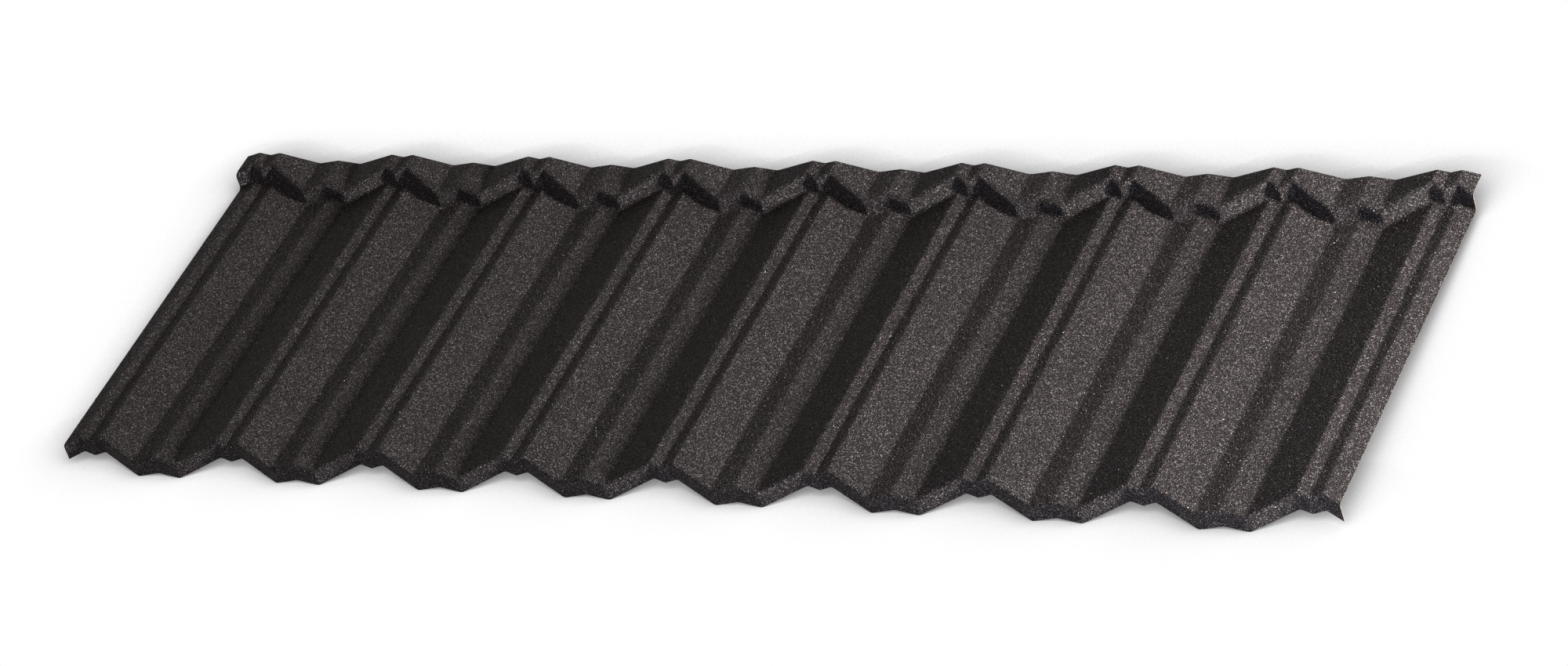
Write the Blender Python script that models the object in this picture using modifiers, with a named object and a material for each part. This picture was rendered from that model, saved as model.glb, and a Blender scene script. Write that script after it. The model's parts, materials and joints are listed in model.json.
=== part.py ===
"""Tile effect metal roofing sheet.

One steel sheet with a baked coat of stone chips, pressed so that one panel looks like a row of
roll tiles.  Each tile is a roll with two beads and a shallow pan with a low crown.  The front edge
is turned down into a scalloped nose.  Near the back the sheet steps up by the same height, in
slightly deeper scallops, and ends in a flange with a straight cut edge, so that the nose of the
next course closes over the step of this one.

Metres, +Z up.  The tiles are counted along X and the nose faces -Y.  The sheet lies the way it comes
to rest on a level floor: on the lip of its nose and on its pans just in front of the step.
"""

import math

import bmesh
import bpy
from mathutils import Matrix, Vector

# Size of the panel
TILE_COUNT = 8
TILE_PITCH = 0.158
SIDE_LIP = 0.029           # from the middle of an end roll to the cut edge beside it
FLANGE_EDGE = 0.4035       # from the nose under a roll back to the straight cut edge
SHEET_THICKNESS = 0.0015   # steel, primer and stone chips together

# Cross section of one tile
BEAD_SPACING = 0.024       # between the two beads of a roll
GROOVE_DEPTH = 0.003       # the groove between them
PAN_WIDTH = 0.048          # between the two corners of a pan
ROLL_HEIGHT = 0.0128       # pan corner up to bead
PAN_CROWN = 0.004          # rise of the middle of the pan above its corners
BEAD_RADIUS = 0.010
GROOVE_RADIUS = 0.008
PAN_CORNER_RADIUS = 0.014
PAN_CROWN_RADIUS = 0.028

# How far the nose and the step stand forward of their lines at the beads
NOSE_PAN_SCALLOP = 0.0175
NOSE_CROWN_SCALLOP = 0.016
NOSE_GROOVE_SCALLOP = 0.002
STEP_PAN_SCALLOP = 0.024
STEP_CROWN_SCALLOP = 0.018
STEP_GROOVE_SCALLOP = 0.006

# Section from the nose to the flange
NOSE_DROP = 0.0175
NOSE_LEAN = 0.0015         # the nose leans back by this much over its drop
STEP_LINE = 0.383          # foot of the step behind the nose, at the beads
STEP_RISE = 0.0175
STEP_LEAN = 0.0015
NOSE_BEND_RADIUS = 0.0045
STEP_FOOT_RADIUS = 0.005
STEP_TOP_RADIUS = 0.006

ACROSS_BEND_STEPS = 2
ALONG_BEND_STEPS = 3

COAT_COLOUR = (0.040, 0.035, 0.034, 1.0)
COAT_ROUGHNESS = 0.85


def rounded(corners, radii, steps):
    """Return the open line through the corners, with each inner corner turned as an arc.

    The first two values of a corner are the plane in which the radius holds, and the other two
    values follow along.
    """
    line = [corners[0]]
    for before, corner, after, radius in zip(corners, corners[1:], corners[2:], radii):
        incoming = (before - corner).to_2d().normalized()
        outgoing = (after - corner).to_2d().normalized()
        turn = math.pi - incoming.angle(outgoing)
        tangent = radius * math.tan(turn / 2)
        start = corner.lerp(before, tangent / (before - corner).to_2d().length)
        end = corner.lerp(after, tangent / (after - corner).to_2d().length)
        for step in range(steps + 1):
            share = step / steps
            line.append(start.lerp(corner, share).lerp(corner.lerp(end, share), share))
    line.append(corners[-1])
    return line


def across_section():
    """Line across the whole panel, as (x, height over the beads, nose scallop, step scallop)."""
    corners = []
    radii = []
    for number in range(TILE_COUNT + 1):
        middle = (number - TILE_COUNT / 2) * TILE_PITCH
        corners.append(Vector((middle - BEAD_SPACING / 2, 0, 0, 0)))
        corners.append(Vector((middle, -GROOVE_DEPTH, NOSE_GROOVE_SCALLOP, STEP_GROOVE_SCALLOP)))
        corners.append(Vector((middle + BEAD_SPACING / 2, 0, 0, 0)))
        radii += [BEAD_RADIUS, GROOVE_RADIUS, BEAD_RADIUS]
        if number < TILE_COUNT:
            pan = middle + TILE_PITCH / 2
            corner = (-ROLL_HEIGHT, NOSE_PAN_SCALLOP, STEP_PAN_SCALLOP)
            crown = (PAN_CROWN - ROLL_HEIGHT, NOSE_CROWN_SCALLOP, STEP_CROWN_SCALLOP)
            corners.append(Vector((pan - PAN_WIDTH / 2, *corner)))
            corners.append(Vector((pan, *crown)))
            corners.append(Vector((pan + PAN_WIDTH / 2, *corner)))
            radii += [PAN_CORNER_RADIUS, PAN_CROWN_RADIUS, PAN_CORNER_RADIUS]

    # The end rolls go on down as a flank and are cut at the side lip.
    flank = (TILE_PITCH - PAN_WIDTH - BEAD_SPACING) / 2
    share = (SIDE_LIP - BEAD_SPACING / 2) / flank
    edge = TILE_COUNT / 2 * TILE_PITCH + SIDE_LIP
    lip = (-ROLL_HEIGHT * share, NOSE_PAN_SCALLOP * share, STEP_PAN_SCALLOP * share)
    corners.insert(0, Vector((-edge, *lip)))
    corners.append(Vector((edge, *lip)))
    return rounded(corners, radii, ACROSS_BEND_STEPS)


def along_section():
    """Line from the nose's lip to the flange's edge, as (y, height, nose share, step share).

    The shares say how much of the nose's and of the step's scallop holds there.
    """
    step_top = NOSE_DROP + STEP_RISE
    corners = [
        Vector((0, 0, 1, 0)),
        Vector((NOSE_LEAN, NOSE_DROP, 1, 0)),
        Vector((STEP_LINE, NOSE_DROP, 0, 1)),
        Vector((STEP_LINE + STEP_LEAN, step_top, 0, 1)),
        Vector((FLANGE_EDGE, step_top, 0, 0)),
    ]
    radii = [NOSE_BEND_RADIUS, STEP_FOOT_RADIUS, STEP_TOP_RADIUS]
    return rounded(corners, radii, ALONG_BEND_STEPS)


def pressed_surface():
    """Return the sheet's upper face as an open mesh."""
    mesh = bmesh.new()
    rows = []
    for y, height, nose_share, step_share in along_section():
        row = []
        for x, roll, nose_scallop, step_scallop in across_section():
            forward = nose_share * nose_scallop + step_share * step_scallop
            row.append(mesh.verts.new((x, y - forward, height + roll)))
        rows.append(row)
    for row, row_behind in zip(rows, rows[1:]):
        for left in range(len(row) - 1):
            right = left + 1
            mesh.faces.new((row[left], row[right], row_behind[right], row_behind[left]))
    surface = bpy.data.meshes.new("roof_sheet")
    mesh.to_mesh(surface)
    mesh.free()
    surface.shade_smooth()
    surface.set_sharp_from_angle(angle=math.radians(40))
    return surface


def resting_edge(side_view, balance):
    """Return the two points of the side view that the sheet rests on, front and back.

    The points are (y, z).  Walking back under the sheet from its lowest point, the next point is
    always the one at the flattest angle, until the walk has passed below the balance point.
    """
    front = min(side_view, key=lambda point: (point[1], point[0]))
    while True:
        behind = [point for point in side_view if point[0] > front[0] + SHEET_THICKNESS / 10]
        back = min(behind, key=lambda point: (point[1] - front[1]) / (point[0] - front[0]))
        if back[0] > balance:
            return Vector(front), Vector(back)
        front = back


def lay_on_floor(sheet):
    """Turn and lower the sheet on to the floor, centred on the origin."""
    bpy.context.view_layer.update()
    solid = sheet.evaluated_get(bpy.context.evaluated_depsgraph_get()).to_mesh()
    points = [vertex.co.copy() for vertex in solid.vertices]
    side_view = [(point.y, point.z) for point in points]
    front, back = resting_edge(side_view, FLANGE_EDGE / 2)
    slope = math.atan2(back.y - front.y, back.x - front.x)
    turned = Matrix.Rotation(-slope, 4, "X")
    laid = [turned @ point for point in points]
    nearest = min(point.y for point in laid)
    furthest = max(point.y for point in laid)
    lowest = min(point.z for point in laid)
    sheet.rotation_euler.x = -slope
    sheet.location = (0, -(nearest + furthest) / 2, -lowest)


def coat_material():
    """Dull, nearly black stone chips."""
    material = bpy.data.materials.new("stone_chip_coat")
    material.use_nodes = True
    shader = material.node_tree.nodes["Principled BSDF"]
    shader.inputs["Base Color"].default_value = COAT_COLOUR
    shader.inputs["Roughness"].default_value = COAT_ROUGHNESS
    shader.inputs["Metallic"].default_value = 0.0
    return material


def main():
    for leftover in list(bpy.data.objects):
        bpy.data.objects.remove(leftover)

    parts = bpy.data.collections.new("tile_effect_roofing_sheet")
    bpy.context.scene.collection.children.link(parts)

    sheet = bpy.data.objects.new("roof_sheet", pressed_surface())
    parts.objects.link(sheet)
    sheet.data.materials.append(coat_material())
    thickness = sheet.modifiers.new("sheet_thickness", "SOLIDIFY")
    thickness.thickness = SHEET_THICKNESS
    thickness.offset = -1
    thickness.use_even_offset = True
    thickness.use_quality_normals = True
    lay_on_floor(sheet)


main()
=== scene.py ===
"""Looks of the tile effect metal roofing sheet.

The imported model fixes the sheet's place and size.  This script dresses it with what the photograph
shows: the steel pressed to its section at a fine mesh, the lumpy coat of small stones on it, the
proud stone chips in their several tones, the primed underside and the cut edge.

It is laid out as an add-on and run as a script.  Metres, +Z up.
"""

import json
import math
import random

import bmesh
import bpy
from bpy.props import FloatProperty, FloatVectorProperty, IntProperty, PointerProperty
from mathutils import Matrix, Vector

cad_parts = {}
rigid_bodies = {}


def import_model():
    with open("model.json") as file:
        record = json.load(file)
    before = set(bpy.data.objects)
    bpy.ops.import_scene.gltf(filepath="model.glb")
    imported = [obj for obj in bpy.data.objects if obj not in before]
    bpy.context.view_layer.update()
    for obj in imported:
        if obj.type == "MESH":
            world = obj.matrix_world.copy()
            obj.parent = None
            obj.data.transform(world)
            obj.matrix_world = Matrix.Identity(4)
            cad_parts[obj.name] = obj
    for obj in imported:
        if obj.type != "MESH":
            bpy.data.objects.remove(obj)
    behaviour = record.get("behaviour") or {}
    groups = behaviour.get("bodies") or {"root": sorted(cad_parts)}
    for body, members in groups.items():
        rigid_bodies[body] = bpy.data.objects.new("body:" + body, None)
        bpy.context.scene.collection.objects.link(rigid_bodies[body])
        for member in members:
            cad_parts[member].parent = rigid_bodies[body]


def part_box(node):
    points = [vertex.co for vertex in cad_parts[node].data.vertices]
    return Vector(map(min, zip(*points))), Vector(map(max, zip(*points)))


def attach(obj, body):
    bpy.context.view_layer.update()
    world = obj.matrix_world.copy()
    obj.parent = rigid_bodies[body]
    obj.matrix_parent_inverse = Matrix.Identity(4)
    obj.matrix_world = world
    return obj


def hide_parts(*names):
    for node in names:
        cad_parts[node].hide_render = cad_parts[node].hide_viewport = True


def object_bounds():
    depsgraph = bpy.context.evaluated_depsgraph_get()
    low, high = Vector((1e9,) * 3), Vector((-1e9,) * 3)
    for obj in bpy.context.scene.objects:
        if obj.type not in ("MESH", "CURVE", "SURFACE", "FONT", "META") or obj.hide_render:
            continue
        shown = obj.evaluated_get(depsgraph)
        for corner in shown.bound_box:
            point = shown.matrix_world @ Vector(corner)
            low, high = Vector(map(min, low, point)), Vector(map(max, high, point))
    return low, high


bl_info = {
    "name": "Stone Coated Roofing Sheet",
    "version": (1, 0, 0),
    "blender": (4, 5, 0),
    "location": "3D View > Sidebar > Roofing",
    "description": "Dresses a pressed roofing sheet with its coat of stone chips",
    "category": "Object",
}

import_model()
CAD_LOW, CAD_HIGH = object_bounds()
SHEET_NODE = "roof_sheet"
BODY = "root"

# The chips' UV map: a palette on which each chip has a swatch.  The swatch's reach and
# the rim round the palette are shares of the map.
BAKE_MAP = "OFBake"
SWATCH = 0.008
PALETTE_RIM = 0.02

# A crushed chip's corners, as shares: how far one strays towards the next, how far it lies from the
# middle, and how much of its height it keeps
CORNER_STRAY = 0.25
CORNER_REACH = (0.40, 0.55)
CORNER_HEIGHT = (0.6, 1.0)

WELD_DISTANCE = 0.00001
SHADOW_SAMPLES = 8
WHITE = (1.0, 1.0, 1.0, 1.0)


# Settings

def length(name, description, default):
    """A size in metres."""
    return FloatProperty(name=name, description=description, default=default, unit="LENGTH",
                         min=0.0, precision=5)


def share(name, description, default):
    """A number from 0 to 1."""
    return FloatProperty(name=name, description=description, default=default, subtype="FACTOR",
                         min=0.0, max=1.0)


def degrees(name, description, default):
    """An angle, given in degrees and kept in radians."""
    return FloatProperty(name=name, description=description, default=math.radians(default),
                         unit="ROTATION")


def colour(name, description, default):
    """A linear colour without alpha."""
    return FloatVectorProperty(name=name, description=description, default=default, size=3,
                               subtype="COLOR", min=0.0, max=1.0)


def point(name, description, default):
    """A point in metres."""
    return FloatVectorProperty(name=name, description=description, default=default, size=3,
                               subtype="TRANSLATION", unit="LENGTH", precision=4)


class SheetShape(bpy.types.PropertyGroup):
    """Section and plan of the pressed sheet."""

    tile_count: IntProperty(name="Tiles", description="Tiles side by side", default=8, min=1)
    tile_pitch: length("Tile pitch", "From one roll to the next", 0.158)
    side_lip: length("Side lip", "Middle of an end roll to the cut edge beside it", 0.0289)
    flange_edge: length("Flange edge", "Nose at a bead back to the straight cut edge", 0.4035)

    bead_spacing: length("Bead spacing", "Between the two beads of a roll", 0.024)
    groove_depth: length("Groove depth", "Groove between the beads", 0.003)
    pan_width: length("Pan width", "Between the two corners of a pan", 0.048)
    roll_height: length("Roll height", "Pan corner up to bead", 0.0128)
    pan_crown: length("Pan crown", "Rise of the pan's middle over its corners", 0.004)
    bead_radius: length("Bead radius", "Bend over a bead", 0.006)
    groove_radius: length("Groove radius", "Bend in a groove", 0.006)
    pan_corner_radius: length("Pan corner radius", "Bend at a pan corner", 0.009)
    pan_crown_radius: length("Pan crown radius", "Bend over a pan's middle", 0.012)

    nose_pan_scallop: length("Nose scallop, pan", "Nose forward of its line at a pan corner", 0.0175)
    nose_crown_scallop: length("Nose scallop, crown", "The same at a pan's middle", 0.016)
    nose_groove_scallop: length("Nose scallop, groove", "The same at a groove", 0.002)
    step_pan_scallop: length("Step scallop, pan", "Step forward of its line at a pan corner", 0.024)
    step_crown_scallop: length("Step scallop, crown", "The same at a pan's middle", 0.018)
    step_groove_scallop: length("Step scallop, groove", "The same at a groove", 0.006)

    nose_drop: length("Nose drop", "Depth of the turned-down front edge", 0.0175)
    nose_lean: length("Nose lean", "How far the nose leans back over its drop", 0.0015)
    step_line: length("Step line", "Nose back to the foot of the step, at a bead", 0.383)
    step_rise: length("Step rise", "Height of the step", 0.01725)
    step_lean: length("Step lean", "How far the step leans back over its rise", 0.0015)
    nose_bend_radius: length("Nose bend", "Bend over the nose", 0.0045)
    step_foot_radius: length("Step foot bend", "Bend at the foot of the step", 0.005)
    step_top_radius: length("Step top bend", "Bend over the step", 0.006)

    lying_angle: degrees("Lying angle", "How far the sheet's back dips as it lies", 2.4887)
    longest_facet: length("Longest facet", "Mesh spacing on the flats", 0.0054)
    bend_steps: IntProperty(name="Bend steps", description="Facets in a bend", default=4, min=1)
    sharp_angle: degrees("Sharp angle", "Edges that fold more than this are shaded sharp", 50)


class CoatLook(bpy.types.PropertyGroup):
    """Build-up and colours of the coat, the primer and the steel."""

    bed_depth: length("Bed depth", "Stone bed below the tops of the proudest chips", 0.00065)
    steel_depth: length("Steel depth", "Steel below the tops of the proudest chips", 0.00112)
    full_depth: length("Full depth", "Steel and coat together", 0.0015)
    relief_height: length("Relief height", "Lumps of the stone bed", 0.00009)
    relief_size: length("Relief size", "How far apart the lumps lie", 0.007)

    stone_size: length("Stone size", "Size of the bedded stones", 0.0009)
    stone_relief: length("Stone relief", "How far the bedded stones bulge", 0.00045)
    darkest: colour("Darkest stone", "Charcoal stones", (0.016, 0.0134, 0.0133))
    dark: colour("Dark stone", "Most of the stones", (0.032, 0.0268, 0.0266))
    middling: colour("Grey stone", "Grey stones", (0.074, 0.0638, 0.0628))
    palest: colour("Pale stone", "The few pale stones", (0.22, 0.205, 0.195))
    binder: colour("Binder", "Resin between the stones", (0.008, 0.0066, 0.0065))

    primer: colour("Primer", "Underside", (0.115, 0.112, 0.104))
    # The cut edge's tan tint is painted warm light that the edge catches.
    steel_and_painted_warm_light: colour("Cut edge", "Steel at the cut edges", (0.33, 0.26, 0.20))


class ChipLook(bpy.types.PropertyGroup):
    """The proud chips that stand out of the bed."""

    stretches: IntProperty(name="Stretches", description="Pieces that the chips are kept in",
                           default=8, min=1)
    spacing: length("Spacing", "Least distance between two proud chips", 0.00145)
    size: length("Chip size", "Mean width of a chip", 0.00112)
    size_spread: share("Size spread", "How far a chip's size strays from the mean", 0.32)
    flatness: share("Flatness", "Height of a chip as a share of its width", 0.60)
    tilt: degrees("Tilt", "How far a chip may tip out of the surface", 30)
    shapes: IntProperty(name="Shapes", description="Different chip shapes", default=8, min=1)
    shape_points: IntProperty(name="Shape points", default=6, min=5,
                              description="Corners of a chip; every second shape has one less")
    seed: IntProperty(name="Seed", description="Draws the chips' places", default=7)
    rim: length("Rim", "Proud chips stay this far inside the model's sides and floor", 0.0011)


class StageLook(bpy.types.PropertyGroup):
    """Floor, lamps and camera."""

    lens: FloatProperty(name="Lens", description="Focal length in millimetres", default=124.94)
    azimuth: degrees("Azimuth", "The camera stands this far round from the nose", 38.527)
    elevation: degrees("Elevation", "The camera looks down this steeply", 38.050)
    roll: degrees("Roll", "The camera is turned this far about its own axis", -24.288)
    distance: length("Distance", "Camera to the point that it looks at", 4.9702)
    aim: point("Aim", "Point that the camera looks at", (0.0438, -0.0063, 0.015))

    key_azimuth: degrees("Key azimuth", "Key lamp, round from +X towards the flange", -1)
    key_reach: length("Key reach", "Key lamp to the sheet's middle over the floor", 2.4)
    key_height: length("Key height", "Key lamp above the floor", 0.60)
    key_size: length("Key size", "Width of the key lamp", 0.36)
    key_power: FloatProperty(name="Key power", description="Watts", default=160.0, min=0.0)
    key_tint: colour("Key tint", "Colour of the key lamp", (1.0, 0.975, 0.965))
    fill_place: point("Fill place", "Where the fill lamp hangs", (1.3, -1.1, 0.3))
    fill_size: length("Fill size", "Width of the fill lamp", 0.8)
    fill_power: FloatProperty(name="Fill power", description="Watts", default=16.0, min=0.0)
    fill_tint: colour("Fill tint", "Colour of the fill lamp", (0.70, 0.78, 1.0))
    sky: FloatProperty(name="Sky", description="Strength of the even light", default=0.092, min=0.0)
    sky_tint: colour("Sky tint", "Colour of the even light", (1.0, 0.66, 0.58))

    floor_reach: length("Floor reach", "Middle of the floor to its edge", 6.0)
    floor_paint: colour("Floor paint", "Colour that the floor throws back", (0.66, 0.66, 0.66))
    # The floor's soft shadow is painted: these settings darken its seen glow by the sheet's
    # occlusion.
    near_reach: length("Near reach", "Sheet this close overhead darkens the floor", 0.02)
    near_depth: FloatProperty(name="Near depth", description="Darkening by the sheet overhead",
                              default=0.6, min=0.0)
    far_reach: length("Far reach", "Sheet this close on the leaning side darkens the floor", 0.075)
    far_depth: FloatProperty(name="Far depth", description="Darkening by the sheet on that side",
                             default=4.2, min=0.0)
    far_azimuth: degrees("Far azimuth", "That side, round from the nose towards +X", 45)
    far_lean: degrees("Far lean", "How far the sky counted on that side leans over", 60)
    shadow_start: share("Shadow start", "Darkening that still looks white", 0.16)
    shadow_end: share("Shadow end", "Darkest part of the shadow", 0.90)


# Nodes

class Wire:
    """A socket in a node tree; Python's operators on it add Math nodes."""

    def __init__(self, tree, socket):
        self.tree = tree
        self.socket = socket

    def maths(self, operation, first, second=0.0):
        node = self.tree.nodes.new("ShaderNodeMath")
        node.operation = operation
        plug(self.tree, node.inputs[0], first)
        plug(self.tree, node.inputs[1], second)
        return Wire(self.tree, node.outputs[0])

    def __add__(self, other):
        return self.maths("ADD", self, other)

    def __sub__(self, other):
        return self.maths("SUBTRACT", self, other)

    def __rsub__(self, other):
        return self.maths("SUBTRACT", other, self)

    def __mul__(self, other):
        return self.maths("MULTIPLY", self, other)

    def __truediv__(self, other):
        return self.maths("DIVIDE", self, other)

    def __rtruediv__(self, other):
        return self.maths("DIVIDE", other, self)

    def __gt__(self, other):
        return self.maths("GREATER_THAN", self, other)

    def __lt__(self, other):
        return self.maths("LESS_THAN", self, other)

    __radd__ = __add__
    __rmul__ = __mul__

    def floor(self):
        return self.maths("FLOOR", self)

    def exponent(self):
        return self.maths("EXPONENT", self)

    def at_least(self, other):
        return self.maths("MAXIMUM", self, other)


def plug(tree, socket, value):
    """Links a wire to the socket, or sets the socket's own value."""
    if isinstance(value, Wire):
        tree.links.new(value.socket, socket)
    else:
        socket.default_value = value


class Network:
    """Adds nodes to a tree."""

    def __init__(self, tree):
        self.tree = tree

    def add(self, kind, settings=None, sockets=None):
        """Adds a node, sets what it is, then its sockets, and returns it.

        Settings are the node's own properties, with "stops" for a ramp's colours.  Sockets are named
        by their name or number, and take a value or a Wire.
        """
        node = self.tree.nodes.new(kind)
        for name, value in (settings or {}).items():
            if name == "stops":
                set_stops(node.color_ramp, value)
            else:
                setattr(node, name, value)
        for name, value in (sockets or {}).items():
            plug(self.tree, self.find(node.inputs, name), value)
        return node

    def wire(self, kind, settings=None, sockets=None, output=0):
        """Adds a node and returns one of its outputs as a Wire."""
        node = self.add(kind, settings, sockets)
        return self.out(node, output)

    def out(self, node, output=0):
        """Returns one of a node's outputs, by its name or number, as a Wire."""
        return Wire(self.tree, self.find(node.outputs, output))

    @staticmethod
    def find(sockets, name):
        """Returns the socket of that number, or the first one in use of that name."""
        if isinstance(name, int):
            return sockets[name]
        return next(socket for socket in sockets if socket.name == name and socket.enabled)


def set_stops(ramp, stops):
    """Gives a colour ramp its stops, as (place, colour)."""
    while len(ramp.elements) < len(stops):
        ramp.elements.new(1.0)
    for element, (place, tint) in zip(ramp.elements, stops):
        element.position = place
        element.color = (*tint, 1.0)


class GeometryTree(Network):
    """A Geometry Nodes tree with named inputs."""

    def __init__(self, name):
        super().__init__(bpy.data.node_groups.new(name, "GeometryNodeTree"))
        self.tree.interface.new_socket("Geometry", in_out="OUTPUT",
                                       socket_type="NodeSocketGeometry")
        self.inputs = self.tree.nodes.new("NodeGroupInput")
        self.identifiers = {}

    def input(self, name, kind):
        """Declares a named input and returns it as a Wire."""
        item = self.tree.interface.new_socket(name, in_out="INPUT",
                                              socket_type="NodeSocket" + kind)
        self.identifiers[name] = item.identifier
        socket = next(found for found in self.inputs.outputs if found.name == name)
        return Wire(self.tree, socket)

    def output(self, geometry):
        """Ends the tree with the geometry."""
        node = self.tree.nodes.new("NodeGroupOutput")
        self.tree.links.new(geometry.socket, node.inputs[0])

    def run(self, name, mesh, values):
        """Runs the tree on the mesh and returns the result as a plain mesh."""
        carrier = bpy.data.objects.new(name + "_carrier", mesh)
        bpy.context.scene.collection.objects.link(carrier)
        modifier = carrier.modifiers.new(name, "NODES")
        modifier.node_group = self.tree
        for label, value in values.items():
            modifier[self.identifiers[label]] = value
        depsgraph = bpy.context.evaluated_depsgraph_get()
        result = bpy.data.meshes.new_from_object(carrier.evaluated_get(depsgraph))
        result.name = name
        # Shapes that come without a material leave an empty slot before the tree's own.
        while result.materials and result.materials[0] is None:
            result.materials.pop(index=0)
        bpy.data.objects.remove(carrier)
        return result


# Materials

def new_material(name):
    """Returns the material, its network and its Principled shader."""
    material = bpy.data.materials.new(name)
    material.use_nodes = True
    network = Network(material.node_tree)
    return material, network, material.node_tree.nodes["Principled BSDF"]


def finish_shader(network, shader, **sockets):
    """Sets or links the shader's sockets; an underscore stands for a space in a name."""
    for name, value in sockets.items():
        plug(network.tree, shader.inputs[name.replace("_", " ")], value)


def stone_bed_material(look):
    """Small stones bedded in dark resin, most of them charcoal and a few of them pale."""
    material, net, shader = new_material("stone_bed")
    place = net.wire("ShaderNodeTexCoord", output="Object")
    stones = net.add("ShaderNodeTexVoronoi", {"feature": "F1"},
                     {"Vector": place, "Scale": 1 / look.stone_size, "Randomness": 1.0})
    draw = net.wire("ShaderNodeSeparateColor", sockets={"Color": net.out(stones, "Color")})
    glint = net.out(draw.socket.node, "Green")
    middle = net.out(stones, "Distance")
    # A stop's place is the share of the stones that are darker than its colour.
    tint = net.wire("ShaderNodeValToRGB",
                    {"stops": ((0.00, look.darkest), (0.55, look.dark), (0.84, look.middling),
                               (0.97, look.palest))},
                    {"Fac": draw}, output="Color")
    gap = net.wire("ShaderNodeMapRange", {"interpolation_type": "SMOOTHSTEP"},
                   {"Value": middle, "From Min": 0.45, "From Max": 0.75}, output="Result")
    stone = net.wire("ShaderNodeMix", {"data_type": "RGBA"},
                     {"Factor": gap, "A": tint, "B": (*look.binder, 1.0)}, output="Result")
    cloud = net.wire("ShaderNodeTexNoise", None,
                     {"Vector": place, "Scale": 14.0, "Detail": 3.0, "Roughness": 0.6},
                     output="Fac")
    shade = net.wire("ShaderNodeMapRange", None,
                     {"Value": cloud, "From Min": 0.3, "From Max": 0.7, "To Min": 0.90,
                      "To Max": 1.10}, output="Result")
    worn = net.wire("ShaderNodeVectorMath", {"operation": "SCALE"},
                    {"Vector": stone, "Scale": shade}, output="Vector")
    bulge = (1 - middle * middle) + draw * 0.5
    bump = net.wire("ShaderNodeBump", None,
                    {"Strength": 1.0, "Distance": look.stone_relief, "Height": bulge},
                    output="Normal")
    finish_shader(net, shader, Base_Color=worn, Roughness=0.45 + glint * 0.5, Normal=bump,
                  Specular_IOR_Level=0.08)
    return material


def chip_material(look):
    """Crushed stones in several tones, the paler ones smoother, each with a shade of its own."""
    material, net, shader = new_material("stone_chip")
    tone = net.wire("ShaderNodeAttribute", {"attribute_name": "tone"}, output="Fac")
    drift = net.wire("ShaderNodeAttribute", {"attribute_name": "drift"}, output="Fac")
    # The stops keep the four tones apart, with only a few chips between one and the next.
    tint = net.wire("ShaderNodeValToRGB",
                    {"stops": ((0.36, look.darkest), (0.40, look.dark), (0.76, look.dark),
                               (0.80, look.middling), (0.94, look.middling),
                               (0.97, look.palest))},
                    {"Fac": tone}, output="Color")
    cast = net.wire("ShaderNodeMix", {"data_type": "RGBA"},
                    {"Factor": drift, "A": (1.04, 0.99, 0.94, 1.0), "B": (0.97, 1.0, 1.04, 1.0)},
                    output="Result")
    stone = net.wire("ShaderNodeVectorMath", {"operation": "MULTIPLY"}, {0: tint, 1: cast},
                     "Vector")
    stone = net.wire("ShaderNodeVectorMath", {"operation": "SCALE"},
                     {"Vector": stone, "Scale": 0.8 + drift * 0.4}, "Vector")
    finish_shader(net, shader, Base_Color=stone, Roughness=0.62 - tone * 0.30,
                  Specular_IOR_Level=0.3)
    return material


def primer_material(look):
    """Satin primer over the zinc coat, with a faint spangle and a slight orange peel."""
    material, net, shader = new_material("primer")
    place = net.wire("ShaderNodeTexCoord", output="Object")
    spangle = net.wire("ShaderNodeTexVoronoi", {"feature": "F1"},
                       {"Vector": place, "Scale": 55.0}, output="Color")
    tone = net.wire("ShaderNodeSeparateColor", sockets={"Color": spangle})
    cloud = net.wire("ShaderNodeTexNoise", None,
                     {"Vector": place, "Scale": 9.0, "Detail": 4.0}, output="Fac")
    shade = 0.86 + tone * 0.12 + cloud * 0.18
    tint = net.wire("ShaderNodeVectorMath", {"operation": "SCALE"},
                    {"Vector": look.primer, "Scale": shade}, output="Vector")
    peel = net.wire("ShaderNodeTexNoise", None,
                    {"Vector": place, "Scale": 420.0, "Detail": 1.0}, output="Fac")
    bump = net.wire("ShaderNodeBump", None,
                    {"Strength": 0.35, "Distance": 0.0002, "Height": peel}, output="Normal")
    finish_shader(net, shader, Base_Color=tint, Roughness=0.42 + tone * 0.1 + cloud * 0.1,
                  Normal=bump)
    return material


def cut_edge_material(look):
    """Sheared steel edge, dulled by handling; its tan tint is painted warm light that it catches."""
    material, net, shader = new_material("cut_edge")
    place = net.wire("ShaderNodeTexCoord", output="Object")
    streak = net.wire("ShaderNodeTexNoise", None,
                      {"Vector": place, "Scale": 160.0, "Detail": 3.0}, output="Fac")
    shade = 0.7 + streak * 0.6
    tint = net.wire("ShaderNodeVectorMath", {"operation": "SCALE"},
                    {"Vector": look.steel_and_painted_warm_light, "Scale": shade}, output="Vector")
    finish_shader(net, shader, Base_Color=tint, Roughness=0.35 + streak * 0.3, Metallic=0.7)
    return material


# Shapes

def rounded(corners, radii, steps):
    """Open line through the corners, with each inner corner turned as an arc.

    A corner's first two values are the plane in which the radius holds, and the rest follow along.
    """
    line = [corners[0]]
    for before, corner, after, radius in zip(corners, corners[1:], corners[2:], radii):
        incoming = (before - corner).to_2d().normalized()
        outgoing = (after - corner).to_2d().normalized()
        tangent = radius * math.tan((math.pi - incoming.angle(outgoing)) / 2)
        start = corner.lerp(before, tangent / (before - corner).to_2d().length)
        end = corner.lerp(after, tangent / (after - corner).to_2d().length)
        for step in range(steps + 1):
            part = step / steps
            line.append(start.lerp(corner, part).lerp(corner.lerp(end, part), part))
    line.append(corners[-1])
    return line


def divided(line, longest):
    """The line with its long stretches cut into facets of at most the given length."""
    points = [line[0]]
    for start, end in zip(line, line[1:]):
        count = math.ceil((end - start).to_2d().length / longest)
        points += [start.lerp(end, step / count) for step in range(1, count + 1)]
    return points


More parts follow.
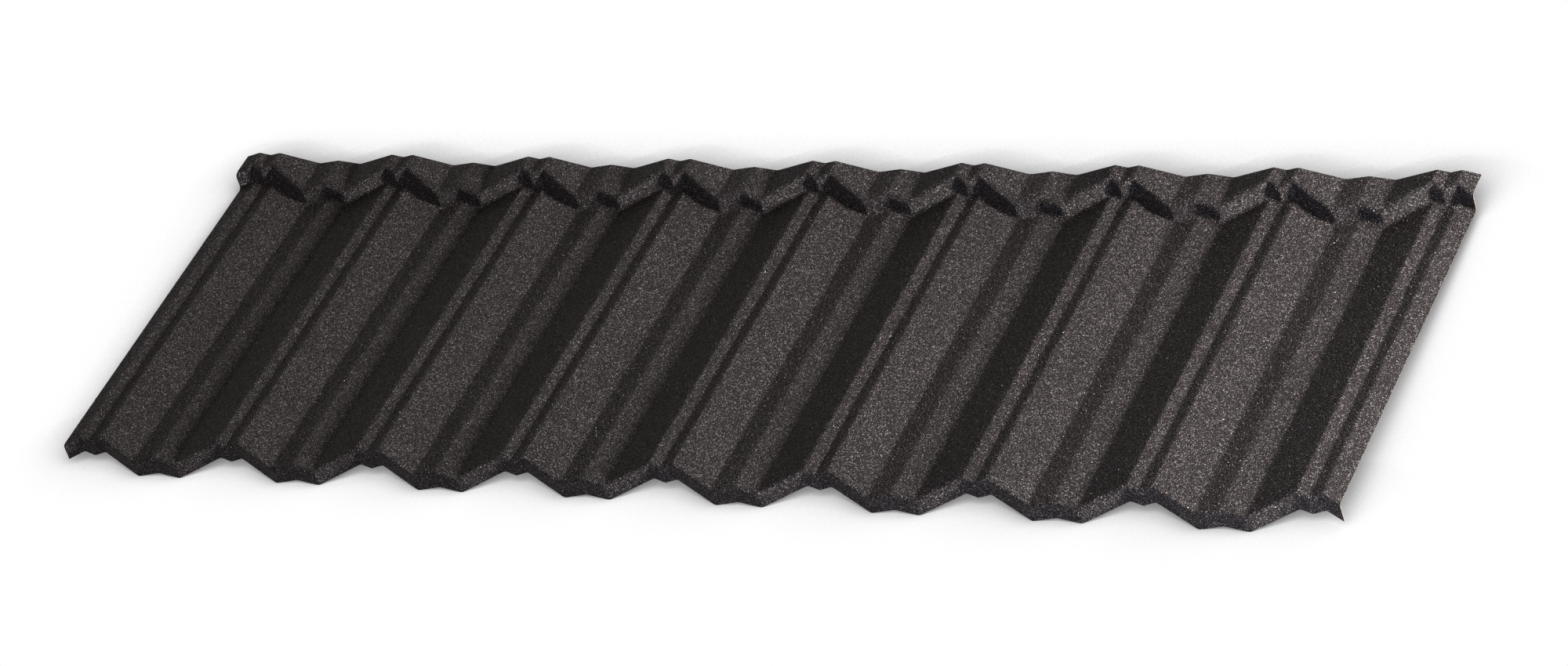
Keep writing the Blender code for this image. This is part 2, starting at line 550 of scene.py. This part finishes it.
def across_line(shape):
    """Line across the sheet, as (x, height over the beads, nose scallop, step scallop)."""
    corners = []
    radii = []
    for number in range(shape.tile_count + 1):
        middle = (number - shape.tile_count / 2) * shape.tile_pitch
        groove = (-shape.groove_depth, shape.nose_groove_scallop, shape.step_groove_scallop)
        corners.append(Vector((middle - shape.bead_spacing / 2, 0, 0, 0)))
        corners.append(Vector((middle, *groove)))
        corners.append(Vector((middle + shape.bead_spacing / 2, 0, 0, 0)))
        radii += [shape.bead_radius, shape.groove_radius, shape.bead_radius]
        if number < shape.tile_count:
            pan = middle + shape.tile_pitch / 2
            corner = (-shape.roll_height, shape.nose_pan_scallop, shape.step_pan_scallop)
            crown = (shape.pan_crown - shape.roll_height, shape.nose_crown_scallop,
                     shape.step_crown_scallop)
            corners.append(Vector((pan - shape.pan_width / 2, *corner)))
            corners.append(Vector((pan, *crown)))
            corners.append(Vector((pan + shape.pan_width / 2, *corner)))
            radii += [shape.pan_corner_radius, shape.pan_crown_radius, shape.pan_corner_radius]
    flank = (shape.tile_pitch - shape.pan_width - shape.bead_spacing) / 2
    part = (shape.side_lip - shape.bead_spacing / 2) / flank
    edge = shape.tile_count / 2 * shape.tile_pitch + shape.side_lip
    lip = (-shape.roll_height * part, shape.nose_pan_scallop * part,
           shape.step_pan_scallop * part)
    corners.insert(0, Vector((-edge, *lip)))
    corners.append(Vector((edge, *lip)))
    return divided(rounded(corners, radii, shape.bend_steps), shape.longest_facet)


def along_line(shape):
    """Line from the nose's lip to the flange's edge, as (y, height, nose share, step share)."""
    step_top = shape.nose_drop + shape.step_rise
    corners = [
        Vector((0, 0, 1, 0)),
        Vector((shape.nose_lean, shape.nose_drop, 1, 0)),
        Vector((shape.step_line, shape.nose_drop, 0, 1)),
        Vector((shape.step_line + shape.step_lean, step_top, 0, 1)),
        Vector((shape.flange_edge, step_top, 0, 0)),
    ]
    radii = [shape.nose_bend_radius, shape.step_foot_radius, shape.step_top_radius]
    return divided(rounded(corners, radii, shape.bend_steps + 1), shape.longest_facet)


def guide_line(name, places, extras):
    """A mesh line through the places, whose vertices carry the extra values as "throw"."""
    mesh = bpy.data.meshes.new(name)
    mesh.from_pydata(places, [(at, at + 1) for at in range(len(places) - 1)], [])
    throw = mesh.attributes.new("throw", "FLOAT_VECTOR", "POINT")
    throw.data.foreach_set("vector", [value for extra in extras for value in extra])
    guide = bpy.data.objects.new(name, mesh)
    bpy.context.scene.collection.objects.link(guide)
    return guide


def press_tree():
    """Geometry Nodes tree that presses a flat grid to the two guide lines and gives it its layers."""
    tree = GeometryTree("press_sheet")
    across = tree.input("Across line", "Object")
    along = tree.input("Along line", "Object")
    bed_depth = tree.input("Bed depth", "Float")
    steel_depth = tree.input("Steel depth", "Float")
    full_depth = tree.input("Full depth", "Float")
    relief_height = tree.input("Relief height", "Float")
    relief_size = tree.input("Relief size", "Float")
    coat = tree.input("Coat", "Material")
    edge = tree.input("Cut edge", "Material")
    underside = tree.input("Underside", "Material")

    across, along = (tree.wire("GeometryNodeObjectInfo", {"transform_space": "ORIGINAL"},
                               {"Object": line}, "Geometry") for line in (across, along))
    columns, rows = (tree.wire("GeometryNodeAttributeDomainSize", {"component": "MESH"},
                               {"Geometry": line}, "Point Count") for line in (across, along))
    grid = tree.wire("GeometryNodeMeshGrid", None,
                     {"Vertices X": columns, "Vertices Y": rows}, "Mesh")
    index = tree.wire("GeometryNodeInputIndex")
    column = (index / rows).floor()
    row = index - column * rows

    def sample(line, at, value):
        return tree.wire("GeometryNodeSampleIndex",
                         {"data_type": "FLOAT_VECTOR", "domain": "POINT"},
                         {"Geometry": line, "Value": value, "Index": at}, "Value")

    def vector(operation, first, second, output="Vector"):
        second_socket = "Scale" if operation == "SCALE" else 1
        return tree.wire("ShaderNodeVectorMath", {"operation": operation},
                         {0: first, second_socket: second}, output)

    position = tree.wire("GeometryNodeInputPosition")
    throw = tree.wire("GeometryNodeInputNamedAttribute", {"data_type": "FLOAT_VECTOR"},
                      {"Name": "throw"}, "Attribute")
    forward = vector("DOT_PRODUCT", sample(across, column, throw), sample(along, row, throw),
                     "Value")
    place = vector("ADD", sample(across, column, position), sample(along, row, position))
    forward = tree.wire("ShaderNodeCombineXYZ", None, {"Y": forward}, "Vector")
    place = vector("SUBTRACT", place, forward)
    pressed = tree.wire("GeometryNodeSetPosition", None,
                        {"Geometry": grid, "Position": place}, "Geometry")

    kept = tree.add("GeometryNodeCaptureAttribute", {"domain": "POINT"}, {"Geometry": pressed})
    for label, field in (("surface", position), ("normal", tree.wire("GeometryNodeInputNormal"))):
        kept.capture_items.new("VECTOR", label)
        plug(tree.tree, kept.inputs[label], field)
    surface = tree.out(kept, "surface")
    normal = tree.out(kept, "normal")

    def below(depth):
        return vector("SUBTRACT", surface, vector("SCALE", normal, depth))

    lumps = tree.wire("ShaderNodeTexNoise", None,
                      {"Vector": position, "Scale": 1 / relief_size, "Detail": 3.0,
                       "Roughness": 0.7}, "Fac")
    # The noise strays by about a quarter from its middle.
    middle = 0.5
    stray = 0.25
    lump = (lumps - middle) * relief_height * (1 / stray)
    top = tree.wire("GeometryNodeSetPosition", None,
                    {"Geometry": tree.out(kept, "Geometry"), "Position": below(bed_depth - lump)},
                    "Geometry")
    stone_side = tree.wire("GeometryNodeStoreNamedAttribute",
                           {"data_type": "BOOLEAN", "domain": "FACE"},
                           {"Geometry": top, "Name": "stone_side", "Value": True}, "Geometry")

    coat_wall = tree.add("GeometryNodeExtrudeMesh", {"mode": "FACES"},
                         {"Mesh": top, "Offset Scale": 0.0, "Individual": False})
    coat_base = tree.wire("GeometryNodeSetPosition", None,
                          {"Geometry": tree.out(coat_wall, "Mesh"),
                           "Selection": tree.out(coat_wall, "Top"),
                           "Position": below(steel_depth)}, "Geometry")
    steel_wall = tree.add("GeometryNodeExtrudeMesh", {"mode": "FACES"},
                          {"Mesh": coat_base, "Selection": tree.out(coat_wall, "Top"),
                           "Offset Scale": 0.0, "Individual": False})
    steel_base = tree.wire("GeometryNodeSetPosition", None,
                           {"Geometry": tree.out(steel_wall, "Mesh"),
                            "Selection": tree.out(steel_wall, "Top"),
                            "Position": below(full_depth)}, "Geometry")
    turned = tree.wire("GeometryNodeFlipFaces", None, {"Mesh": steel_base}, "Mesh")
    joined = tree.add("GeometryNodeJoinGeometry")
    for geometry in (turned, stone_side):
        tree.tree.links.new(geometry.socket, joined.inputs[0])
    closed = tree.wire("GeometryNodeMergeByDistance", None,
                       {"Geometry": tree.out(joined), "Distance": WELD_DISTANCE}, "Geometry")
    result = tree.wire("GeometryNodeRealizeInstances", None, {"Geometry": closed}, "Geometry")
    for selection, material in ((True, coat), (tree.out(steel_wall, "Side"), edge),
                                (tree.out(steel_wall, "Top"), underside)):
        result = tree.wire("GeometryNodeSetMaterial", None,
                           {"Geometry": result, "Selection": selection, "Material": material},
                           "Geometry")
    tree.output(result)
    return tree


def lay_down(mesh, shape):
    """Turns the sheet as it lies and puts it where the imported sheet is."""
    mesh.transform(Matrix.Rotation(-shape.lying_angle, 4, "X"))
    low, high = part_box(SHEET_NODE)
    places = [vertex.co for vertex in mesh.vertices]
    lowest = min(place.z for place in places)
    nearest = min(place.y for place in places)
    furthest = max(place.y for place in places)
    middle = (low.y + high.y - nearest - furthest) / 2
    mesh.transform(Matrix.Translation((0, middle, low.z - lowest)))


def show_piece(name, mesh):
    """Puts the mesh in the scene as a piece of the part that stands for the sheet."""
    piece = bpy.data.objects.new(name, mesh)
    bpy.context.scene.collection.objects.link(piece)
    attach(piece, BODY)
    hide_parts(SHEET_NODE)


def chip_shapes(look):
    """A collection of small closed stones of about unit width."""
    draw = random.Random(look.seed)
    shapes = bpy.data.collections.new("chip_shapes")
    bpy.context.scene.collection.children.link(shapes)
    for number in range(look.shapes):
        outline = bmesh.new()
        corners = look.shape_points - number % 2
        for corner in range(corners):
            turn = (corner + draw.uniform(-CORNER_STRAY, CORNER_STRAY)) / corners * math.tau
            height = (0.5 if corner % 2 else -0.5) * draw.uniform(*CORNER_HEIGHT)
            reach = draw.uniform(*CORNER_REACH)
            outline.verts.new((reach * math.cos(turn), reach * math.sin(turn),
                               height * look.flatness))
        hull = bmesh.ops.convex_hull(outline, input=outline.verts)
        bmesh.ops.delete(outline, geom=hull["geom_interior"], context="VERTS")
        bmesh.ops.triangulate(outline, faces=outline.faces)
        bmesh.ops.recalc_face_normals(outline, faces=outline.faces)
        mesh = bpy.data.meshes.new(f"chip_{number}")
        outline.to_mesh(mesh)
        outline.free()
        swatch = mesh.uv_layers.new(name=BAKE_MAP)
        for face in mesh.polygons:
            for order, corner in enumerate(face.loop_indices):
                angle = order / face.loop_total * math.tau
                swatch.uv[corner].vector = (SWATCH * math.cos(angle), SWATCH * math.sin(angle))
        shapes.objects.link(bpy.data.objects.new(f"chip_{number}", mesh))
    return shapes


def chip_tree():
    """Geometry Nodes tree that beds chips on the stone side inside a box.

    Each chip draws a tone and a drift of its shade, which its material reads.  Its UV map lays it
    on a palette of the two, so that a baked picture of the palette keeps every chip's own colour.
    """
    tree = GeometryTree("scatter_chips")
    sheet = tree.input("Sheet", "Geometry")
    shapes = tree.input("Chip shapes", "Collection")
    spacing = tree.input("Spacing", "Float")
    size = tree.input("Chip size", "Float")
    spread = tree.input("Size spread", "Float")
    tilt = tree.input("Tilt", "Float")
    seed = tree.input("Seed", "Int")
    low = tree.input("Low corner", "Vector")
    high = tree.input("High corner", "Vector")
    stone = tree.input("Stone", "Material")

    stone_side = tree.wire("GeometryNodeInputNamedAttribute", {"data_type": "BOOLEAN"},
                           {"Name": "stone_side"}, "Attribute")
    scatter = tree.add("GeometryNodeDistributePointsOnFaces", {"distribute_method": "POISSON"},
                       {"Mesh": sheet, "Selection": stone_side, "Distance Min": spacing,
                        "Density Max": 1 / (spacing * spacing), "Seed": seed})
    position = tree.wire("GeometryNodeInputPosition")
    inside = None
    for axis in "XYZ":
        at, lowest, highest = (tree.wire("ShaderNodeSeparateXYZ", None, {"Vector": value}, axis)
                               for value in (position, low, high))
        within = (at > lowest) * (at < highest)
        inside = within if inside is None else inside * within
    points = tree.wire("GeometryNodeSeparateGeometry", {"domain": "POINT"},
                       {"Geometry": tree.out(scatter, "Points"), "Selection": inside},
                       "Selection")

    def draw(low_value, high_value, number, kind="FLOAT"):
        return tree.wire("FunctionNodeRandomValue", {"data_type": kind},
                         {"Min": low_value, "Max": high_value, "Seed": seed + number}, "Value")

    def store(geometry, name, value, kind, domain):
        return tree.wire("GeometryNodeStoreNamedAttribute", {"data_type": kind, "domain": domain},
                         {"Geometry": geometry, "Name": name, "Value": value}, "Geometry")

    def stored(name, kind="FLOAT"):
        return tree.wire("GeometryNodeInputNamedAttribute", {"data_type": kind}, {"Name": name},
                         "Attribute")

    for number, name in ((1, "tone"), (7, "drift")):
        points = store(points, name, draw(0.0, 1.0, number), "FLOAT", "POINT")
    shape = tree.wire("GeometryNodeCollectionInfo", None,
                      {"Collection": shapes, "Separate Children": True, "Reset Children": True},
                      "Instances")
    tip = tree.wire("ShaderNodeCombineXYZ", None,
                    {"X": draw(-1.0, 1.0, 2) * tilt, "Y": draw(-1.0, 1.0, 3) * tilt,
                     "Z": draw(0.0, math.tau, 4)}, "Vector")
    tip = tree.wire("FunctionNodeEulerToRotation", None, {"Euler": tip}, "Rotation")
    turn = tree.wire("FunctionNodeRotateRotation", {"rotation_space": "LOCAL"},
                     {"Rotation": tree.out(scatter, "Rotation"), "Rotate By": tip}, "Rotation")
    scale = size * (1 + draw(-1.0, 1.0, 5) * spread)
    # A pick past the last shape starts over at the first.
    pick = draw(0, 1000, 6, "INT")
    chips = tree.wire("GeometryNodeInstanceOnPoints", None,
                      {"Points": points, "Instance": shape, "Pick Instance": True,
                       "Instance Index": pick, "Rotation": turn, "Scale": scale}, "Instances")
    result = tree.wire("GeometryNodeRealizeInstances", None, {"Geometry": chips}, "Geometry")
    place = tree.wire("ShaderNodeCombineXYZ", None,
                      {"X": PALETTE_RIM + stored("tone") * (1 - 2 * PALETTE_RIM),
                       "Y": PALETTE_RIM + stored("drift") * (1 - 2 * PALETTE_RIM)}, "Vector")
    place = tree.wire("ShaderNodeVectorMath", {"operation": "ADD"},
                      {0: stored(BAKE_MAP, "FLOAT_VECTOR"), 1: place}, "Vector")
    result = store(result, BAKE_MAP, place, "FLOAT2", "CORNER")
    result = tree.wire("GeometryNodeSetMaterial", None, {"Geometry": result, "Material": stone},
                       "Geometry")
    tree.output(result)
    return tree


# Operators

class ROOFING_OT_coated_sheet(bpy.types.Operator):
    """Press the sheet to its section, with its stone bed, cut edge and primed underside"""

    bl_idname = "roofing.coated_sheet"
    bl_label = "Coated Sheet"

    def execute(self, context):
        shape = context.scene.roofing_shape
        coat = context.scene.roofing_coat
        across = across_line(shape)
        along = along_line(shape)
        guides = (
            guide_line("across_line", [(x, 0, z) for x, z, nose, step in across],
                       [(nose, step, 0) for x, z, nose, step in across]),
            guide_line("along_line", [(0, y, z) for y, z, nose, step in along],
                       [(nose, step, 0) for y, z, nose, step in along]),
        )
        mesh = press_tree().run("coated_sheet", bpy.data.meshes.new("empty"), {
            "Across line": guides[0],
            "Along line": guides[1],
            "Bed depth": coat.bed_depth,
            "Steel depth": coat.steel_depth,
            "Full depth": coat.full_depth,
            "Relief height": coat.relief_height,
            "Relief size": coat.relief_size,
            "Coat": stone_bed_material(coat),
            "Cut edge": cut_edge_material(coat),
            "Underside": primer_material(coat),
        })
        for guide in guides:
            bpy.data.objects.remove(guide)
        lay_down(mesh, shape)
        mesh.shade_smooth()
        mesh.set_sharp_from_angle(angle=shape.sharp_angle)
        show_piece("coated_sheet", mesh)
        return {"FINISHED"}


class ROOFING_OT_stone_chips(bpy.types.Operator):
    """Bed the proud stone chips in the sheet's coat"""

    bl_idname = "roofing.stone_chips"
    bl_label = "Stone Chips"

    def execute(self, context):
        coat = context.scene.roofing_coat
        chips = context.scene.roofing_chips
        sheet = bpy.data.objects["coated_sheet"]
        tree = chip_tree()
        stone = chip_material(coat)
        shapes = chip_shapes(chips)
        # The rim keeps the cut edges free of proud chips.  They may reach the top.
        rim = Vector((chips.rim, chips.rim, chips.rim))
        low, high = CAD_LOW + rim, CAD_HIGH - rim
        high.z = CAD_HIGH.z
        stretch = (high.x - low.x) / chips.stretches
        for number in range(chips.stretches):
            mesh = tree.run(f"stone_chips_{number + 1}", sheet.data, {
                "Chip shapes": shapes,
                "Spacing": chips.spacing,
                "Chip size": chips.size,
                "Size spread": chips.size_spread,
                "Tilt": chips.tilt,
                "Seed": chips.seed,
                "Low corner": (low.x + number * stretch, low.y, low.z),
                "High corner": (low.x + (number + 1) * stretch, high.y, high.z),
                "Stone": stone,
            })
            show_piece(f"stone_chips_{number + 1}", mesh)
        for shape in list(shapes.objects):
            bpy.data.objects.remove(shape)
        bpy.data.collections.remove(shapes)
        return {"FINISHED"}


class ROOFING_OT_stage(bpy.types.Operator):
    """Lay out the floor, the lamps and the camera"""

    bl_idname = "roofing.stage"
    bl_label = "Stage"

    def execute(self, context):
        look = context.scene.roofing_stage
        set_camera(look)
        set_lamps(look)
        set_floor(look)
        set_world(look)
        context.scene.view_settings.view_transform = "Standard"
        return {"FINISHED"}


def set_camera(look):
    """Camera that looks at the aim point from the photograph's side."""
    data = bpy.data.cameras.new("camera")
    data.lens = look.lens
    camera = bpy.data.objects.new("camera", data)
    bpy.context.scene.collection.objects.link(camera)
    back = Vector((math.sin(look.azimuth) * math.cos(look.elevation),
                   -math.cos(look.azimuth) * math.cos(look.elevation),
                   math.sin(look.elevation)))
    level = Vector((0, 0, 1)).cross(back).normalized()
    upright = back.cross(level)
    right = level * math.cos(look.roll) + upright * math.sin(look.roll)
    up = back.cross(right)
    turn = Matrix((right, up, back)).transposed().to_4x4()
    camera.matrix_world = Matrix.Translation(look.aim + back * look.distance) @ turn
    bpy.context.scene.camera = camera


def area_lamp(name, place, size, power, tint):
    """Square lamp at the place, facing the middle of the sheet, which is the origin."""
    data = bpy.data.lights.new(name, "AREA")
    data.size = size
    data.energy = power
    data.color = tint
    lamp = bpy.data.objects.new(name, data)
    bpy.context.scene.collection.objects.link(lamp)
    lamp.location = place
    lamp.rotation_euler = (-place).to_track_quat("-Z", "Y").to_euler()


def set_lamps(look):
    """A low key lamp at the right end and a weak cool fill in front."""
    key = Vector((math.cos(look.key_azimuth) * look.key_reach,
                  math.sin(look.key_azimuth) * look.key_reach, look.key_height))
    area_lamp("key_lamp", key, look.key_size, look.key_power, look.key_tint)
    area_lamp("fill_lamp", look.fill_place, look.fill_size, look.fill_power, look.fill_tint)


def seen_directly(net):
    """1 for the rays that show the background: from the camera, in gloss and through glass."""
    path = net.add("ShaderNodeLightPath")
    ways = [net.out(path, name) for name in
            ("Is Camera Ray", "Is Glossy Ray", "Is Transmission Ray")]
    return ways[0].at_least(ways[1]).at_least(ways[2])


def set_floor(look):
    """Plain pale floor; where it is seen it is white, with a painted soft shadow of the sheet round
    it.
    """
    mesh = bpy.data.meshes.new("floor")
    plan = bmesh.new()
    bmesh.ops.create_grid(plan, x_segments=1, y_segments=1, size=look.floor_reach)
    plan.to_mesh(mesh)
    plan.free()
    floor = bpy.data.objects.new("floor", mesh)
    bpy.context.scene.collection.objects.link(floor)
    material, net, shader = new_material("floor_paint")
    finish_shader(net, shader, Base_Color=(*look.floor_paint, 1.0), Roughness=0.9,
                  Specular_IOR_Level=0.0)
    # Painted shadow: the seen floor darkens where these occlusion nodes find the sheet near.
    near = net.wire("ShaderNodeAmbientOcclusion", {"samples": SHADOW_SAMPLES},
                    {"Distance": look.near_reach}, "AO")
    lean = net.wire("ShaderNodeCombineXYZ", None,
                    {"X": math.sin(look.far_azimuth) * math.sin(look.far_lean),
                     "Y": -math.cos(look.far_azimuth) * math.sin(look.far_lean),
                     "Z": math.cos(look.far_lean)}, "Vector")
    far = net.wire("ShaderNodeAmbientOcclusion", {"samples": SHADOW_SAMPLES},
                   {"Distance": look.far_reach, "Normal": lean}, "AO")
    # The painted shadow deepens less and less towards its darkest.
    dark = (1 - near) * look.near_depth + (1 - far) * look.far_depth - look.shadow_start
    bright = (dark.at_least(0.0) * (-1 / look.shadow_end)).exponent()
    shade = 1 - (1 - bright) * look.shadow_end
    white = net.wire("ShaderNodeEmission", None, {"Color": shade}, "Emission")
    mixed = net.wire("ShaderNodeMixShader", None,
                     {"Fac": seen_directly(net), 1: net.out(shader, "BSDF"), 2: white}, "Shader")
    plug(net.tree, material.node_tree.nodes["Material Output"].inputs["Surface"], mixed)
    mesh.materials.append(material)


def set_world(look):
    """White where it is seen, and an even soft light elsewhere."""
    world = bpy.data.worlds.new("studio")
    bpy.context.scene.world = world
    world.use_nodes = True
    net = Network(world.node_tree)
    seen = seen_directly(net)
    background = world.node_tree.nodes["Background"]
    tint = net.wire("ShaderNodeMix", {"data_type": "RGBA"},
                    {"Factor": seen, "A": (*look.sky_tint, 1.0), "B": WHITE}, output="Result")
    plug(net.tree, background.inputs["Color"], tint)
    plug(net.tree, background.inputs["Strength"], seen + (1 - seen) * look.sky)


class ROOFING_PT_panel(bpy.types.Panel):
    """The sheet's sizes and finish"""

    bl_idname = "ROOFING_PT_panel"
    bl_label = "Roofing Sheet"
    bl_space_type = "VIEW_3D"
    bl_region_type = "UI"
    bl_category = "Roofing"

    def draw(self, context):
        for operator in OPERATORS:
            self.layout.operator(operator.bl_idname)
        for name, group in SETTINGS.items():
            box = self.layout.box()
            for setting in group.__annotations__:
                box.prop(getattr(context.scene, name), setting)


SETTINGS = {
    "roofing_shape": SheetShape,
    "roofing_coat": CoatLook,
    "roofing_chips": ChipLook,
    "roofing_stage": StageLook,
}
OPERATORS = (ROOFING_OT_coated_sheet, ROOFING_OT_stone_chips, ROOFING_OT_stage)


def register():
    for group in (*SETTINGS.values(), *OPERATORS, ROOFING_PT_panel):
        bpy.utils.register_class(group)
    for name, group in SETTINGS.items():
        setattr(bpy.types.Scene, name, PointerProperty(type=group))


def unregister():
    for name in SETTINGS:
        delattr(bpy.types.Scene, name)
    for group in reversed((*SETTINGS.values(), *OPERATORS, ROOFING_PT_panel)):
        bpy.utils.unregister_class(group)


def main():
    register()
    bpy.ops.roofing.coated_sheet()
    bpy.ops.roofing.stone_chips()
    bpy.ops.roofing.stage()


if __name__ == "__main__":
    main()
